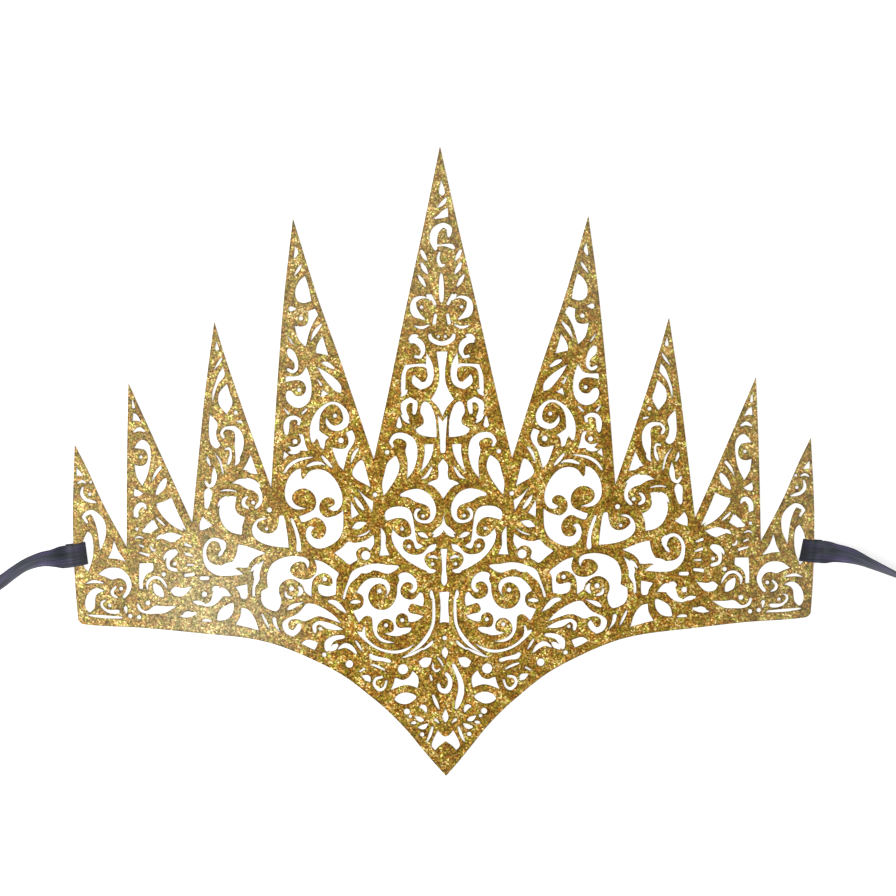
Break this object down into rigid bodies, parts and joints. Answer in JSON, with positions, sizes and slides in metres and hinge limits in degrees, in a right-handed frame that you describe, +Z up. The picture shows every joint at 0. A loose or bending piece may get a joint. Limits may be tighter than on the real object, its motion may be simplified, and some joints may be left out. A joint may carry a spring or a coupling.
{
  "type": "paper crown",
  "caption": "Flat paper crown cut as filigree from one sheet of gold glitter card, with pointed spikes and a dark satin ribbon tie at each side.",
  "frame": {"origin": "on the surface that the crown lies on, under the middle of the crown without its ribbons", "axes": "+X across the crown, +Y from its lower point to the tall middle spike, +Z up out of the glitter side"},
  "size_m": [0.579, 0.2516, 0.009],
  "materials": {
    "glitter_card": "satin",
    "satin_ribbon": "satin"
  },
  "bodies": {
    "root": {"crown": "glitter_card", "left_ribbon": "satin_ribbon", "left_ribbon_coil": "satin_ribbon", "right_ribbon": "satin_ribbon", "right_ribbon_coil": "satin_ribbon"}
  },
  "joints": []
}
